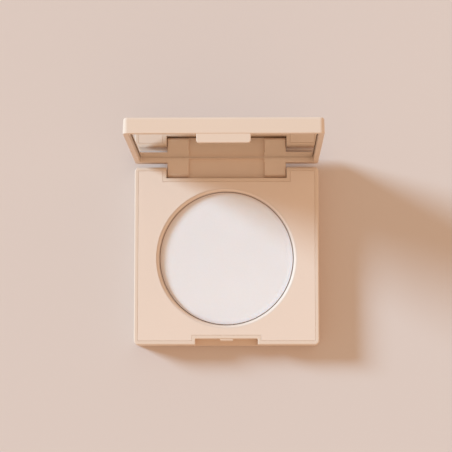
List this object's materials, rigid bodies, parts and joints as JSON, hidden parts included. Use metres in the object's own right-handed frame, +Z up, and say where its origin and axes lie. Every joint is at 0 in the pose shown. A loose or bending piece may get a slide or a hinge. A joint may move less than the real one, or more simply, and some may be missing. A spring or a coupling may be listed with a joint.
{
  "type": "powder compact",
  "caption": "Square hinged cosmetic compact, open at a right angle, with a round pressed-powder pan in the base, a mirror inside the lid, a snap tab and a pin hinge.",
  "frame": {"origin": "middle of the flat bottom face of the base, which lies on the ground", "axes": "+X to the right of a person facing the latch, +Y from the latch edge to the hinge edge, +Z up out of the powder; the lid stands upright behind the hinge at rest"},
  "size_m": [0.072, 0.0776, 0.0752],
  "materials": {
    "shell_plastic": "satin",
    "deck_plastic": "satin",
    "lid_plastic": "satin",
    "pan_metal": "satin",
    "powder": "matte",
    "adhesive": "matte",
    "pin_steel": "satin",
    "mirror_glass": "polished"
  },
  "bodies": {
    "base": {"base_tray": "shell_plastic", "deck_plate": "deck_plastic", "powder_pan": "pan_metal", "pressed_powder": "powder", "pan_adhesive": "adhesive", "hinge_pin_left": "pin_steel", "hinge_pin_right": "pin_steel"},
    "lid": {"lid_shell": "lid_plastic", "mirror": "mirror_glass", "mirror_tape": "adhesive"}
  },
  "joints": [
    {"name": "lid_hinge", "type": "hinge", "parent": "base", "child": "lid", "pos_m": [0, 0.0333, 0.00715], "axis": [-1, 0, 0], "range_deg": [-90, 40]}
  ]
}
